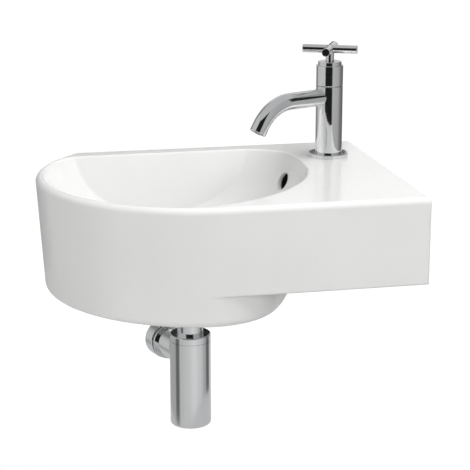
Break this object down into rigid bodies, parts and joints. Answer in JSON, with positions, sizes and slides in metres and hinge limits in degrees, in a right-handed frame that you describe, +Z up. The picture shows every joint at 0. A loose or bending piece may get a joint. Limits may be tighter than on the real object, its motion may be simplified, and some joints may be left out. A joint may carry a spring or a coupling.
{
  "type": "hand basin",
  "caption": "Wall-hung cloakroom hand basin with a round deep bowl, a square tap shelf beside it, a pillar tap with cross handle and bent spout, push-down waste and bottle trap",
  "frame": {"origin": "on the wall face, midway between the two wall fixings", "axes": "+X along the wall towards the tap, +Y into the wall, +Z up; the basin stands out of the wall along -Y"},
  "size_m": [0.4245, 0.38, 0.4607],
  "materials": {
    "glazed_ceramic": "white glaze, glossy",
    "chrome": "polished chrome plate on brass",
    "brass": "machined brass",
    "steel": "zinc-plated or stainless steel",
    "rubber": "matt black rubber",
    "white_plastic": "moulded plastic",
    "disc_ceramic": "lapped alumina"
  },
  "bodies": {
    "basin_set": {"basin": "glazed_ceramic", "hanger_bolts": "steel", "fixing_sleeves": "white_plastic", "fixing_washers": "steel", "fixing_nuts": "steel", "tap_flange": "chrome", "tap_base_seal": "rubber", "tap_body": "chrome", "tap_tail": "brass", "tap_rubber_washer": "rubber", "tap_steel_washer": "steel", "tap_backnut": "brass", "tap_sleeve": "chrome", "headwork_body": "brass", "headwork_seat_seal": "rubber", "fixed_disc": "disc_ceramic", "spout_tube": "chrome", "aerator_ring": "chrome", "aerator_insert": "white_plastic", "waste_body": "chrome", "waste_top_seal": "rubber", "waste_under_seal": "rubber", "waste_backnut": "brass", "cartridge_body": "white_plastic", "cartridge_spring": "steel", "union_nut": "chrome", "union_seal": "rubber", "inlet_tube": "chrome", "trap_cap": "chrome", "tube_seal": "rubber", "cap_ring": "rubber", "trap_body": "chrome", "outlet_nut": "chrome", "outlet_seal": "rubber", "outlet_ring": "white_plastic"},
    "tap_handle": {"handle_hub": "chrome", "handle_arms": "chrome", "handle_screw": "steel", "handle_cap": "chrome", "spindle": "brass", "spindle_rings": "rubber", "moving_disc": "disc_ceramic"},
    "waste_plug": {"plug_cap": "chrome", "plug_seal": "rubber", "plug_plunger": "steel"}
  },
  "joints": [
    {"name": "tap_turn", "type": "hinge", "parent": "basin_set", "child": "tap_handle", "pos_m": [0.1823, -0.082, 0.2126], "axis": [0, 0, 1], "range_deg": [0, 90]},
    {"name": "plug_press", "type": "slide", "parent": "basin_set", "child": "waste_plug", "axis": [0, 0, -1], "range_m": [0, 0.007], "stiffness_N_per_m": 150, "springref_m": -0.02, "deforming": ["cartridge_spring"]}
  ]
}
